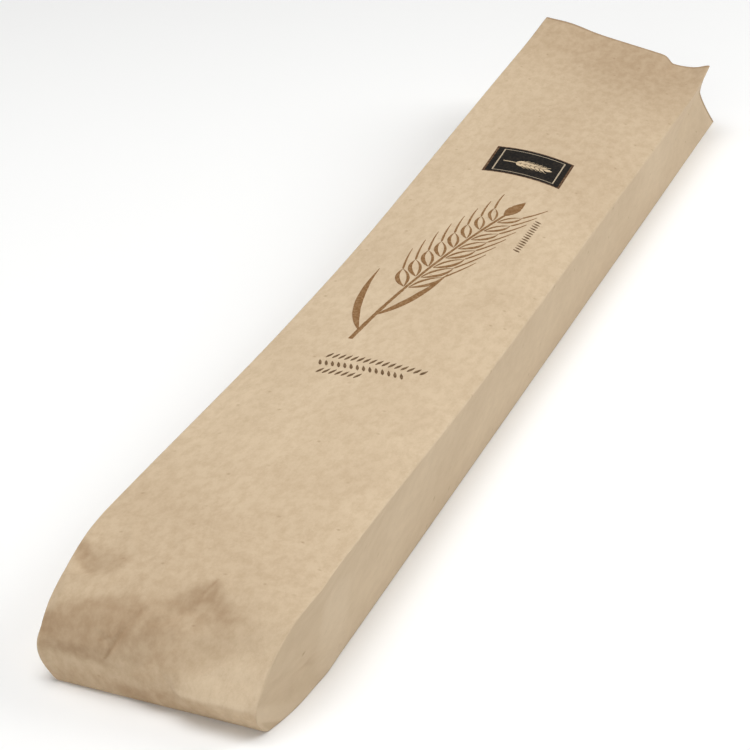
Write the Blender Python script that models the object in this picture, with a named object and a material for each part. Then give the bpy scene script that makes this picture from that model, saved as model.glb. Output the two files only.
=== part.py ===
"""Brown kraft paper bread bag, long and narrow, lying on its back panel with its open mouth at +Y.

The bag is one solid. A box-shaped cage is cut into a grid, its far end is sunk to make the mouth, and every
corner of the grid is then carried to its place on the bag: the front panel rolls down to the bottom fold at
the near end, the side gussets fold inwards at the mouth, and the bag twists a little towards the mouth.

Frame: X across the bag, Y along it from the bottom fold to the mouth, Z up. The origin is at the centre of
the underside's bounding box. Lengths are in metres.
"""

import math
from typing import NamedTuple

import bmesh
import bpy
from mathutils import Matrix, Vector


class Roll(NamedTuple):
    """Curve by which a crease rolls down to the bottom fold, seen from the side as (y, z) points."""

    foot: tuple
    foot_handle: tuple
    shoulder: tuple
    shoulder_angle: float
    shoulder_reach_down: float
    shoulder_reach_up: float
    crest_reach: float


# Paper sizes: a 4 by 2 by 24 inch bread bag
PANEL_WIDTH = 0.102
BACK_LENGTH = 0.6125
MOUTH_SETBACK = (0.0165, 0.0210)
WALL = 0.0012
MOUTH_DEPTH = 0.120

# Height of the front panel's two long creases above the surface that the bag lies on
RIGHT_HEIGHT = 0.0374
RIGHT_NEAR_SWELL = 0.0050
RIGHT_MOUTH_RISE = 0.0038
RIGHT_MOUTH_RUN = 0.043
TIP_RISE = 0.0027
TIP_WIDTH = 0.006
LEFT_HEIGHT = 0.0359
LEFT_NEAR_SWELL = 0.0036
LEFT_MOUTH_SLOPE = 0.0716
LEFT_RISE_START = 0.310
LEFT_RISE_SOFTNESS = 0.025
SWELL_START = 0.050
SWELL_RUN = 0.175

# Soft bulge of the front panel, and the dip in its mouth edge beside the right crease
PANEL_BULGE = 0.0042
BULGE_SKEW = 0.25
BULGE_FADE = 0.150
DIP_DEPTH = 0.0036
DIP_CENTRE = 0.0289
DIP_WIDTH_LEFT = 0.0032
DIP_WIDTH_RIGHT = 0.0160
DIP_RUN = 0.045

# Roll of the left and of the right crease down to the bottom fold, and where the roll begins
ROLLS = (
    Roll((-0.0018, 0.0), (-0.0043, 0.0071), (-0.0017, 0.0199), 40.0, 0.0057, 0.0156, 0.0322),
    Roll((0.0007, 0.0), (-0.0104, 0.0104), (0.0012, 0.0227), 54.0, 0.0070, 0.0208, 0.0273),
)
CREST_Y = 0.060
SHOULDER_BULGE = 0.0018

# How the sides close in at the bottom fold
RIGHT_TURN_START = 0.038
RIGHT_TURN_SLOPE = 0.181
RIGHT_FOOT_START = 0.046
RIGHT_FOOT_INSET = 0.0063
RIGHT_FOOT_POWER = 2.4
RIGHT_FOOT_BLEND = 0.006
LEFT_TURN_START = 0.042
LEFT_TURN_SLOPE = 0.038
LEFT_CORNER_INSET = 0.0069
LEFT_CORNER_SIZE = 0.0184
END_FOLD_DEPTH = 0.0020
END_FOLD_Y = 0.034
END_FOLD_Z = 0.008
END_FOLD_RUN = 0.012
END_FOLD_REACH = 0.006

# Gusset folds at the mouth, and the lift of the back panel's left edge there
GUSSET_FOLD_DEPTH = 0.0071
GUSSET_FOLD_RUN = 0.110
GUSSET_FOLD_ROUND = 1.35
LIFT_START = 0.360
LIFT_HEIGHT = 0.0090
LIFT_CURVE = 1.5

# Grid of the cage
ACROSS = 16
ALONG = 40
UP = 8
MOUTH_STEPS = 8
END_CROWDING = 0.45
END_REACH = 9.0

KRAFT = (0.624, 0.470, 0.305, 1.0)


def smoothstep(t):
    """Rise smoothly from 0 to 1 as t goes from 0 to 1, and stay there outside."""
    t = min(max(t, 0.0), 1.0)
    return t * t * (3.0 - 2.0 * t)


def mix(pair, share):
    """Mix two numbers, the first at share 0 and the second at share 1."""
    return pair[0] + (pair[1] - pair[0]) * share


def bezier(start, start_handle, end_handle, end, t):
    """Point at t on a cubic curve through start and end."""
    s = 1.0 - t
    return s**3 * start + 3 * s * s * t * start_handle + 3 * s * t * t * end_handle + t**3 * end


def front_mouth_y(across):
    """Where the front panel's mouth edge lies, with across -1 at the left crease and 1 at the right."""
    return BACK_LENGTH - mix(MOUTH_SETBACK, (across + 1.0) / 2.0)


def mouth_nearness(y, run):
    """Share that grows from 0, this far short of the front panel's mouth edge, to 1 at that edge."""
    return min(1.0, max(0.0, 1.0 - (front_mouth_y(1.0) - y) / run)) ** 2


def right_crease_height(y):
    """Height of the front panel's right crease, which rises a little at the mouth."""
    swell = RIGHT_NEAR_SWELL * (1.0 - smoothstep((y - SWELL_START) / SWELL_RUN))
    return RIGHT_HEIGHT + swell + RIGHT_MOUTH_RISE * mouth_nearness(y, RIGHT_MOUTH_RUN)


def left_crease_height(y):
    """Height of the front panel's left crease, which rises steadily to the mouth."""
    swell = LEFT_NEAR_SWELL * (1.0 - smoothstep((y - SWELL_START) / SWELL_RUN))
    bend = (y - LEFT_RISE_START) / LEFT_RISE_SOFTNESS
    return LEFT_HEIGHT + swell + LEFT_MOUTH_SLOPE * LEFT_RISE_SOFTNESS * math.log1p(math.exp(bend))


def front_height(across, y):
    """Height of the front panel at y, with across running from -1 at the left crease to 1 at the right."""
    share = (across + 1.0) / 2.0
    chord = mix((left_crease_height(y), right_crease_height(y)), share)
    mouth_gap = max(0.0, front_mouth_y(across) - y)
    bulge = PANEL_BULGE * (1.0 - across**2) * (1.0 + BULGE_SKEW * across) * smoothstep(mouth_gap / BULGE_FADE)
    offset = across * PANEL_WIDTH / 2.0 - DIP_CENTRE
    width = DIP_WIDTH_RIGHT if offset > 0.0 else DIP_WIDTH_LEFT
    dip = DIP_DEPTH * math.exp(-((offset / width) ** 2)) * (1.0 - smoothstep(mouth_gap / DIP_RUN))
    from_crease = (1.0 - across) * PANEL_WIDTH / 2.0
    tip = TIP_RISE * math.exp(-((from_crease / TIP_WIDTH) ** 2)) * mouth_nearness(y, RIGHT_MOUTH_RUN)
    return chord + bulge - dip + tip


def back_height(across, y):
    """Height of the back panel, which lies flat but for its left edge near the mouth."""
    rise = max(0.0, (y - LIFT_START) / (BACK_LENGTH - LIFT_START)) ** 2
    return LIFT_HEIGHT * rise * ((1.0 - across) / 2.0) ** LIFT_CURVE


def roll_handles(across):
    """Seven points (y, z) of the two curves that make the roll, from the bottom fold to the crest."""
    share = (across + 1.0) / 2.0
    crest = Vector((CREST_Y, front_height(across, CREST_Y)))
    slope = front_height(across, CREST_Y + WALL) - crest.y
    lift = Vector((-SHOULDER_BULGE, SHOULDER_BULGE)) * (1.0 - across**2)
    sides = []
    for roll in ROLLS:
        shoulder = Vector(roll.shoulder)
        angle = math.radians(roll.shoulder_angle)
        upwards = Vector((math.cos(angle), math.sin(angle)))
        low = shoulder - upwards * roll.shoulder_reach_down
        high = shoulder + upwards * roll.shoulder_reach_up
        sides.append((Vector(roll.foot), Vector(roll.foot_handle), low, shoulder, high))
    mixed = [left.lerp(right, share) for left, right in zip(*sides)]
    rolled = mixed[:2] + [point + lift for point in mixed[2:]]
    reach = mix([roll.crest_reach for roll in ROLLS], share)
    return rolled + [crest - Vector((1.0, slope / WALL)) * reach, crest]


def roll_point(across, up):
    """Point (y, z) on the roll at the near end, from the bottom fold at up 0 to the crest at up 1."""
    handles = roll_handles(across)
    if up < 0.5:
        return bezier(*handles[:4], 2.0 * up)
    return bezier(*handles[3:], 2.0 * up - 1.0)


def side_point(across, along, up):
    """Point (y, z) of the bag seen from the side, for shares along its length and up its height."""
    foot = roll_point(across, 0.0)
    crest = roll_point(across, 1.0)
    back_y = foot.x + (BACK_LENGTH - foot.x) * along
    front_y = CREST_Y + (front_mouth_y(across) - CREST_Y) * along
    back = Vector((back_y, back_height(across, back_y)))
    front = Vector((front_y, front_height(across, front_y)))
    roll = roll_point(across, up) - foot.lerp(crest, up)
    return back.lerp(front, up) + roll * (1.0 - along) ** END_REACH


def right_inset(y, z):
    """How far the right gusset stands in from the bag's full width at the near end."""
    turn = RIGHT_TURN_SLOPE * max(0.0, RIGHT_TURN_START - y)
    foot = RIGHT_FOOT_INSET * max(0.0, (RIGHT_FOOT_START - y) / RIGHT_FOOT_START) ** RIGHT_FOOT_POWER
    fold_y = math.exp(-(((y - END_FOLD_Y) / END_FOLD_RUN) ** 2))
    fold_z = math.exp(-(((z - END_FOLD_Z) / END_FOLD_REACH) ** 2))
    return mix((foot, turn), smoothstep(z / RIGHT_FOOT_BLEND)) + END_FOLD_DEPTH * fold_y * fold_z


def left_inset(y, z):
    """How far the left gusset stands in from the bag's full width at the near end."""
    turn = LEFT_TURN_SLOPE * max(0.0, LEFT_TURN_START - y)
    near = 1.0 - smoothstep((y - ROLLS[0].foot[0]) / LEFT_CORNER_SIZE)
    low = max(0.0, 1.0 - z / LEFT_CORNER_SIZE) ** 2
    return turn + LEFT_CORNER_INSET * near * low


def gusset_fold(y, up):
    """Depth of the fold that a gusset makes inwards near the mouth, deepest at half its height."""
    nearness = min(1.0, max(0.0, 1.0 - (front_mouth_y(0.0) - y) / GUSSET_FOLD_RUN))
    crest = max(0.0, 1.0 - abs(2.0 * up - 1.0) ** GUSSET_FOLD_ROUND)
    return GUSSET_FOLD_DEPTH * smoothstep(nearness) * crest


def lean(width, rise):
    """How much narrower a panel of this width looks from above when one edge stands higher by rise."""
    return width - math.sqrt(width**2 - rise**2)


def bag_point(across, along, up):
    """Place on the bag of a point of the cage: across -1 to 1, along and up 0 to 1."""
    side = side_point(across, along, up)
    y, z = side.x, side.y
    rise = left_crease_height(max(y, CREST_Y)) - right_crease_height(max(y, CREST_Y))
    fold = gusset_fold(y, up)
    left = -PANEL_WIDTH / 2.0 + left_inset(y, z) + lean(PANEL_WIDTH, rise) * up + fold
    right = PANEL_WIDTH / 2.0 - right_inset(y, z) - fold
    return Vector((mix((left, right), (across + 1.0) / 2.0), y, z))


def crowd_to_ends(share):
    """Move grid rows towards both ends of the bag, where its shape changes fastest."""
    return share - END_CROWDING / math.tau * math.sin(math.tau * share)


def make_cage():
    """Box of the bag's rough size, gridded, with its far end sunk to the depth of the mouth."""
    height = RIGHT_HEIGHT
    cage = bmesh.new()
    size = Matrix.Diagonal((PANEL_WIDTH, BACK_LENGTH, height, 1.0))
    bmesh.ops.create_cube(cage, size=1.0, matrix=size @ Matrix.Translation((0.0, 0.5, 0.5)))
    for axis, pieces in enumerate((ACROSS, ALONG, UP)):
        edges = [e for e in cage.edges if abs((e.verts[0].co - e.verts[1].co)[axis]) > WALL]
        bmesh.ops.subdivide_edges(cage, edges=edges, cuts=pieces - 1, use_grid_fill=True)
    for corner in cage.verts:
        corner.co.y = BACK_LENGTH * crowd_to_ends(corner.co.y / BACK_LENGTH)
    cage.normal_update()
    mouth = [f for f in cage.faces if f.normal.y > 0.5]
    bmesh.ops.inset_region(cage, faces=mouth, thickness=WALL, use_even_offset=True)
    for _ in range(MOUTH_STEPS):
        sunk = bmesh.ops.extrude_face_region(cage, geom=mouth)["geom"]
        bmesh.ops.delete(cage, geom=mouth, context="FACES")
        mouth = [g for g in sunk if isinstance(g, bmesh.types.BMFace)]
        moved = [g for g in sunk if isinstance(g, bmesh.types.BMVert)]
        bmesh.ops.translate(cage, verts=moved, vec=(0.0, -MOUTH_DEPTH / MOUTH_STEPS, 0.0))
    for corner in cage.verts:
        corner.co = bag_point(2.0 * corner.co.x / PANEL_WIDTH, corner.co.y / BACK_LENGTH, corner.co.z / height)
    return cage


def centre_underside(mesh):
    """Move the mesh so that its bounding box is centred on X and Y and stands on Z = 0."""
    corners = [v.co for v in mesh.vertices]
    low = Vector([min(c[axis] for c in corners) for axis in range(3)])
    high = Vector([max(c[axis] for c in corners) for axis in range(3)])
    centre = (low + high) / 2.0
    mesh.transform(Matrix.Translation((-centre.x, -centre.y, -low.z)))


def kraft_paper():
    """Unbleached brown paper, matt."""
    material = bpy.data.materials.new("kraft_paper")
    material.use_nodes = True
    shader = material.node_tree.nodes["Principled BSDF"]
    shader.inputs["Base Color"].default_value = KRAFT
    shader.inputs["Roughness"].default_value = 0.85
    return material


def make_bag(collection):
    """Build the bag's mesh and object."""
    cage = make_cage()
    bmesh.ops.recalc_face_normals(cage, faces=cage.faces)
    mesh = bpy.data.meshes.new("bag")
    cage.to_mesh(mesh)
    cage.free()
    centre_underside(mesh)
    mesh.materials.append(kraft_paper())
    bag = bpy.data.objects.new("bag", mesh)
    collection.objects.link(bag)
    return bag


def main():
    """Clear the scene and build the bread bag in a collection of its own."""
    for leftover in list(bpy.data.objects):
        bpy.data.objects.remove(leftover)
    collection = bpy.data.collections.new("paper_baguette_bag")
    bpy.context.scene.collection.children.link(collection)
    make_bag(collection)


main()
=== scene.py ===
"""Kraft paper baguette bag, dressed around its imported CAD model.

The bag lies on its back panel with its front panel up. Its bottom end, at -Y, is rolled under, and its open
mouth is at +Y. The paper is one closed skin with a thin rim at the mouth and an inner skin behind it. The
print on the front panel is generic: a brushed ear of wheat, rows of small grain marks and a dark plaque.

Places on the front panel are given as (u, v): u across from the panel's middle, towards +X, and v along it
from the line where it starts to roll down, so that v is negative on the roll. Lengths are in metres.
"""

import logging
import math
from collections.abc import Callable
from dataclasses import dataclass, field
from enum import Enum
from functools import cached_property

import bmesh
import bpy
from mathutils import Euler, Matrix, Vector, noise
from mathutils.bvhtree import BVHTree

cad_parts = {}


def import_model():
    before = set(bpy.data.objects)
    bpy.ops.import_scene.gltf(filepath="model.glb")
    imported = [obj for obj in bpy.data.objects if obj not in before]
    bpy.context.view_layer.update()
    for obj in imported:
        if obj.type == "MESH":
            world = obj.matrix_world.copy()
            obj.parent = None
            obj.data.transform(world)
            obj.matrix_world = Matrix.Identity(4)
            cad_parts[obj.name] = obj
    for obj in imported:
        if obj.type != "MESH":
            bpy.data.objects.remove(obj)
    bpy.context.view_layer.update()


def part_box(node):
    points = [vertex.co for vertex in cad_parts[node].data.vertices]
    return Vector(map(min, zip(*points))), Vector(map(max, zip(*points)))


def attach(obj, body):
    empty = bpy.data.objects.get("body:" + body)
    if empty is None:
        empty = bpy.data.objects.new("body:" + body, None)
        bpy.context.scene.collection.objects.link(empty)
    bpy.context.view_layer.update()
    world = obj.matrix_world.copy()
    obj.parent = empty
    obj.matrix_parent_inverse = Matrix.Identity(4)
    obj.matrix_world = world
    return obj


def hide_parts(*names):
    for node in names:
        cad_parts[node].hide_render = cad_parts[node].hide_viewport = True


MM = 0.001

Pair = tuple[float, float]
Colour = tuple[float, float, float, float]
Socket = bpy.types.NodeSocket

log = logging.getLogger("baguette_bag")


class Face(Enum):
    """Panels of the bag, as the faces of its cage become them."""

    FRONT = "front"
    BACK = "back"
    RIGHT = "right gusset"
    LEFT = "left gusset"
    ROLL = "roll at the bottom end"
    RIM = "rim of the mouth"


def smoothstep(t: float) -> float:
    """Rise smoothly from 0 to 1 as t goes from 0 to 1, and stay there outside."""
    t = min(max(t, 0.0), 1.0)
    return t * t * (3.0 - 2.0 * t)


def mix(pair: Pair, share: float) -> float:
    """Mix two numbers, the first at share 0 and the second at share 1."""
    return pair[0] + (pair[1] - pair[0]) * share


def bell(distance: float, width: float) -> float:
    """Height of a smooth bump of height 1 at this distance from its middle."""
    return math.exp(-((distance / width) ** 2))


def bezier(start: Vector, start_handle: Vector, end_handle: Vector, end: Vector, t: float) -> Vector:
    """Point at t on a cubic curve.

    Args:
        start: Where the curve starts, at t 0.
        start_handle: Point that the curve leaves towards.
        end_handle: Point that the curve arrives from.
        end: Where the curve ends, at t 1.
        t: Share of the way along the curve.

    Returns:
        The point on the curve.
    """
    s = 1.0 - t
    return s**3 * start + 3 * s * s * t * start_handle + 3 * s * t * t * end_handle + t**3 * end


def linear_colour(code: str) -> Colour:
    """Linear RGBA of an sRGB colour.

    Args:
        code: The colour as six hex digits.

    Returns:
        The colour as Blender's sockets take it, opaque.
    """
    channels = [int(code[i : i + 2], 16) / 255.0 for i in (0, 2, 4)]
    red, green, blue = (c / 12.92 if c <= 0.04045 else ((c + 0.055) / 1.055) ** 2.4 for c in channels)
    return red, green, blue, 1.0


def add_node(
    material: bpy.types.Material,
    kind: str,
    settings: dict[str, object] | None = None,
    links: dict[object, Socket] | None = None,
) -> bpy.types.Node:
    """Add a node to a material, set it and link it.

    Args:
        material: The material that gets the node.
        kind: Blender's name for the type of node.
        settings: Values by property name, or by input name or index for a socket's own value.
        links: Output sockets by the name or index of the input that they go to.

    Returns:
        The new node.
    """
    tree = material.node_tree
    node = tree.nodes.new(kind)
    for key, value in (settings or {}).items():
        if isinstance(key, str) and hasattr(node, key):
            setattr(node, key, value)
        else:
            node.inputs[key].default_value = value
    for key, source in (links or {}).items():
        tree.links.new(source, node.inputs[key])
    return node


def new_material(name: str, roughness: float, specular: float) -> tuple[bpy.types.Material, bpy.types.Node]:
    """Start a material.

    Args:
        name: The material's name.
        roughness: Its roughness.
        specular: Its specular level.

    Returns:
        The material and its shader.
    """
    made = bpy.data.materials.new(name)
    made.use_nodes = True
    shader = made.node_tree.nodes["Principled BSDF"]
    shader.inputs["Roughness"].default_value = roughness
    shader.inputs["Specular IOR Level"].default_value = specular
    return made, shader


def add_object(name: str, data: bpy.types.ID) -> bpy.types.Object:
    """Add an object to the scene.

    Args:
        name: The object's name.
        data: Its mesh, light or camera.

    Returns:
        The object.
    """
    made = bpy.data.objects.new(name, data)
    bpy.context.scene.collection.objects.link(made)
    return made


def add_mesh(name: str, shape: bmesh.types.BMesh, materials: list[bpy.types.Material]) -> bpy.types.Object:
    """Add a mesh object to the scene.

    Args:
        name: Name of the object and of its mesh.
        shape: Its shape, which is freed.
        materials: Its materials, by the shape's material numbers.

    Returns:
        The object.
    """
    mesh = bpy.data.meshes.new(name)
    shape.to_mesh(mesh)
    shape.free()
    for material in materials:
        mesh.materials.append(material)
    return add_object(name, mesh)


@dataclass(frozen=True)
class Roll:
    """Curve by which a crease rolls down to the bottom fold, seen from the side as (y, z) points."""

    foot: Pair
    foot_handle: Pair
    shoulder: Pair
    shoulder_angle: float
    shoulder_reach_down: float
    shoulder_reach_up: float
    crest_reach: float


@dataclass(frozen=True)
class BagForm:
    """Shape of the bag, as its CAD model has it, before the paper's folds and wrinkles."""

    panel_width: float = 0.102
    gusset_width: float = 0.046
    back_length: float = 0.6125
    mouth_setback: Pair = (0.0165, 0.0210)
    right_height: float = 0.0374
    right_near_swell: float = 0.0050
    right_mouth_rise: float = 0.0038
    right_mouth_run: float = 0.043
    tip_rise: float = 0.0027
    tip_width: float = 0.006
    left_height: float = 0.0359
    left_near_swell: float = 0.0036
    left_mouth_slope: float = 0.0716
    left_rise_start: float = 0.310
    left_rise_softness: float = 0.025
    swell_start: float = 0.050
    swell_run: float = 0.175
    panel_bulge: float = 0.0042
    bulge_skew: float = 0.25
    bulge_fade: float = 0.150
    dip_depth: float = 0.0036
    dip_centre: float = 0.0289
    dip_width_left: float = 0.0032
    dip_width_right: float = 0.0160
    dip_run: float = 0.045
    rolls: tuple[Roll, Roll] = (
        Roll((-0.0018, 0.0), (-0.0043, 0.0071), (-0.0017, 0.0199), 40.0, 0.0057, 0.0156, 0.0322),
        Roll((0.0007, 0.0), (-0.0104, 0.0104), (0.0012, 0.0227), 54.0, 0.0070, 0.0208, 0.0273),
    )
    crest_y: float = 0.060
    shoulder_bulge: float = 0.0018
    slope_step: float = 0.0012
    right_turn_start: float = 0.038
    right_turn_slope: float = 0.181
    right_foot_start: float = 0.046
    right_foot_inset: float = 0.0063
    right_foot_power: float = 2.4
    right_foot_blend: float = 0.006
    left_turn_start: float = 0.042
    left_turn_slope: float = 0.038
    left_corner_inset: float = 0.0069
    left_corner_size: float = 0.0184
    end_fold_depth: float = 0.0020
    end_fold_y: float = 0.034
    end_fold_z: float = 0.008
    end_fold_run: float = 0.012
    end_fold_reach: float = 0.006
    gusset_fold_depth: float = 0.0071
    gusset_fold_run: float = 0.110
    gusset_fold_round: float = 1.35
    lift_start: float = 0.360
    lift_height: float = 0.0090
    lift_curve: float = 1.5
    end_reach: float = 9.0
    crease_radius: float = 0.0009
    crease_pull: float = 0.41

    def front_mouth_y(self, across: float) -> float:
        """Where the front panel's mouth edge lies, with across -1 at the left crease and 1 at the right."""
        return self.back_length - mix(self.mouth_setback, (across + 1.0) / 2.0)

    def mouth_nearness(self, y: float, run: float) -> float:
        """Share that grows from 0, this far short of the front panel's mouth edge, to 1 at that edge."""
        return min(1.0, max(0.0, 1.0 - (self.front_mouth_y(1.0) - y) / run)) ** 2

    def near_swell(self, height: float, y: float) -> float:
        """How much a crease of this swell stands higher at y, near the bottom end."""
        return height * (1.0 - smoothstep((y - self.swell_start) / self.swell_run))

    def right_crease_height(self, y: float) -> float:
        """Height of the front panel's right crease, which rises a little at the mouth."""
        rise = self.right_mouth_rise * self.mouth_nearness(y, self.right_mouth_run)
        return self.right_height + self.near_swell(self.right_near_swell, y) + rise

    def left_crease_height(self, y: float) -> float:
        """Height of the front panel's left crease, which rises steadily to the mouth.

        Args:
            y: Place along the bag, from the bottom fold.

        Returns:
            The height above the surface that the bag lies on.
        """
        bend = (y - self.left_rise_start) / self.left_rise_softness
        climb = self.left_mouth_slope * self.left_rise_softness * math.log1p(math.exp(bend))
        return self.left_height + self.near_swell(self.left_near_swell, y) + climb

    def front_height(self, across: float, y: float) -> float:
        """Height of the front panel.

        Args:
            across: -1 at the left crease to 1 at the right crease.
            y: Place along the bag, from the bottom fold.

        Returns:
            The height above the surface that the bag lies on.
        """
        share = (across + 1.0) / 2.0
        chord = mix((self.left_crease_height(y), self.right_crease_height(y)), share)
        mouth_gap = max(0.0, self.front_mouth_y(across) - y)
        crown = (1.0 - across**2) * (1.0 + self.bulge_skew * across)
        bulge = self.panel_bulge * crown * smoothstep(mouth_gap / self.bulge_fade)
        offset = across * self.panel_width / 2.0 - self.dip_centre
        width = self.dip_width_right if offset > 0.0 else self.dip_width_left
        dip = self.dip_depth * bell(offset, width) * (1.0 - smoothstep(mouth_gap / self.dip_run))
        from_crease = (1.0 - across) * self.panel_width / 2.0
        tip = self.tip_rise * bell(from_crease, self.tip_width) * self.mouth_nearness(y, self.right_mouth_run)
        return chord + bulge - dip + tip

    def back_height(self, across: float, y: float) -> float:
        """Height of the back panel, which lies flat but for its left edge near the mouth."""
        rise = max(0.0, (y - self.lift_start) / (self.back_length - self.lift_start)) ** 2
        return self.lift_height * rise * ((1.0 - across) / 2.0) ** self.lift_curve

    def roll_handles(self, across: float) -> list[Vector]:
        """Points of the two cubic curves that make the roll.

        Args:
            across: -1 at the left crease to 1 at the right crease.

        Returns:
            Seven points (y, z), from the bottom fold to the crest.
        """
        share = (across + 1.0) / 2.0
        crest = Vector((self.crest_y, self.front_height(across, self.crest_y)))
        slope = self.front_height(across, self.crest_y + self.slope_step) - crest.y
        lift = Vector((-self.shoulder_bulge, self.shoulder_bulge)) * (1.0 - across**2)
        sides = []
        for roll in self.rolls:
            shoulder = Vector(roll.shoulder)
            angle = math.radians(roll.shoulder_angle)
            upwards = Vector((math.cos(angle), math.sin(angle)))
            low = shoulder - upwards * roll.shoulder_reach_down
            high = shoulder + upwards * roll.shoulder_reach_up
            sides.append((Vector(roll.foot), Vector(roll.foot_handle), low, shoulder, high))
        mixed = [left.lerp(right, share) for left, right in zip(*sides)]
        rolled = mixed[:2] + [point + lift for point in mixed[2:]]
        reach = mix((self.rolls[0].crest_reach, self.rolls[1].crest_reach), share)
        return rolled + [crest - Vector((1.0, slope / self.slope_step)) * reach, crest]

    def roll_point(self, across: float, up: float) -> Vector:
        """Point on the roll.

        Args:
            across: -1 at the left crease to 1 at the right crease.
            up: 0 at the bottom fold to 1 at the crest.

        Returns:
            The point (y, z).
        """
        handles = self.roll_handles(across)
        if up < 0.5:
            return bezier(*handles[:4], 2.0 * up)
        return bezier(*handles[3:], 2.0 * up - 1.0)

    def side_point(self, across: float, along: float, up: float) -> Vector:
        """Point of the bag seen from the side.

        Args:
            across: -1 at the left crease to 1 at the right crease.
            along: 0 at the bottom end to 1 at the mouth.
            up: 0 on the back panel to 1 on the front panel.

        Returns:
            The point (y, z).
        """
        foot = self.roll_point(across, 0.0)
        crest = self.roll_point(across, 1.0)
        back_y = foot.x + (self.back_length - foot.x) * along
        front_y = self.crest_y + (self.front_mouth_y(across) - self.crest_y) * along
        back = Vector((back_y, self.back_height(across, back_y)))
        front = Vector((front_y, self.front_height(across, front_y)))
        roll = self.roll_point(across, up) - foot.lerp(crest, up)
        return back.lerp(front, up) + roll * (1.0 - along) ** self.end_reach

    def right_inset(self, y: float, z: float) -> float:
        """How far the right gusset stands in from the bag's full width at the bottom end.

        Args:
            y: Place along the bag, from the bottom fold.
            z: Height above the surface that the bag lies on.

        Returns:
            The distance inwards.
        """
        turn = self.right_turn_slope * max(0.0, self.right_turn_start - y)
        nearness = max(0.0, (self.right_foot_start - y) / self.right_foot_start)
        foot = self.right_foot_inset * nearness**self.right_foot_power
        fold = bell(y - self.end_fold_y, self.end_fold_run) * bell(z - self.end_fold_z, self.end_fold_reach)
        return mix((foot, turn), smoothstep(z / self.right_foot_blend)) + self.end_fold_depth * fold

    def left_inset(self, y: float, z: float) -> float:
        """How far the left gusset stands in from the bag's full width at the bottom end.

        Args:
            y: Place along the bag, from the bottom fold.
            z: Height above the surface that the bag lies on.

        Returns:
            The distance inwards.
        """
        turn = self.left_turn_slope * max(0.0, self.left_turn_start - y)
        near = 1.0 - smoothstep((y - self.rolls[0].foot[0]) / self.left_corner_size)
        low = max(0.0, 1.0 - z / self.left_corner_size) ** 2
        return turn + self.left_corner_inset * near * low

    def gusset_fold(self, y: float, up: float) -> float:
        """Depth of the fold that a gusset makes inwards near the mouth, deepest at half its height.

        Args:
            y: Place along the bag, from the bottom fold.
            up: 0 on the back panel to 1 on the front panel.

        Returns:
            The depth.
        """
        nearness = min(1.0, max(0.0, 1.0 - (self.front_mouth_y(0.0) - y) / self.gusset_fold_run))
        crest = max(0.0, 1.0 - abs(2.0 * up - 1.0) ** self.gusset_fold_round)
        return self.gusset_fold_depth * smoothstep(nearness) * crest

    def crease_rounding(self, across: float, along: float, up: float) -> Vector:
        """How far the small radius of the paper's creases pulls a point in.

        Args:
            across: -1 at the left crease to 1 at the right crease.
            along: 0 at the bottom end to 1 at the mouth.
            up: 0 on the back panel to 1 on the front panel.

        Returns:
            The move, as a vector.
        """
        aside = (1.0 - abs(across)) * self.panel_width / 2.0
        above = up * self.gusset_width
        below = (1.0 - up) * self.gusset_width
        inland = along * self.back_length
        inwards = math.copysign(1.0, -across)
        creases = (
            (max(aside, below), Vector((inwards, 0.0, -1.0))),
            (max(aside, above), Vector((inwards, 0.0, 1.0))),
            (max(aside, inland), Vector((inwards, 1.0, 0.0))),
            (max(above, inland), Vector((0.0, 1.0, 1.0))),
        )
        pull = Vector((0.0, 0.0, 0.0))
        for distance, direction in creases:
            if distance < self.crease_radius:
                strength = (1.0 - distance / self.crease_radius) ** 2
                pull += direction.normalized() * self.crease_pull * self.crease_radius * strength
        return pull

    def point(self, across: float, along: float, up: float) -> Vector:
        """Place on the bag of a point of its cage, before it is centred.

        Args:
            across: -1 at the left crease to 1 at the right crease.
            along: 0 at the bottom end to 1 at the mouth.
            up: 0 on the back panel to 1 on the front panel.

        Returns:
            The point, with Y measured from the bottom fold.
        """
        side = self.side_point(across, along, up)
        y, z = side.x, side.y
        crest = max(y, self.crest_y)
        rise = self.left_crease_height(crest) - self.right_crease_height(crest)
        lean = self.panel_width - math.sqrt(self.panel_width**2 - rise**2)
        fold = self.gusset_fold(y, up)
        left = -self.panel_width / 2.0 + self.left_inset(y, z) + lean * up + fold
        right = self.panel_width / 2.0 - self.right_inset(y, z) - fold
        x = mix((left, right), (across + 1.0) / 2.0)
        return Vector((x, y, z)) + self.crease_rounding(across, along, up)

    def on_front(self, u: float, v: float) -> Vector:
        """Place of a point of the front panel, before it is centred, for v above 0."""
        across = 2.0 * u / self.panel_width
        return self.point(across, v / (self.front_mouth_y(across) - self.crest_y), 1.0)

    @cached_property
    def roll_lengths(self) -> list[float]:
        """Length of paper from the crest down to each of many steps on the roll's middle line.

        Returns:
            The lengths, from the crest down.
        """
        steps = 120
        lengths = [0.0]
        before = self.roll_point(0.0, 1.0)
        for step in range(1, steps + 1):
            here = self.roll_point(0.0, 1.0 - step / steps)
            lengths.append(lengths[-1] + (here - before).length)
            before = here
        return lengths

    def roll_length(self, up: float) -> float:
        """Length of paper from the crest down to a height on the roll.

        Args:
            up: 0 at the bottom fold to 1 at the crest.

        Returns:
            The length.
        """
        step = (1.0 - up) * (len(self.roll_lengths) - 1)
        low = min(int(step), len(self.roll_lengths) - 2)
        return mix((self.roll_lengths[low], self.roll_lengths[low + 1]), step - low)


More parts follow.
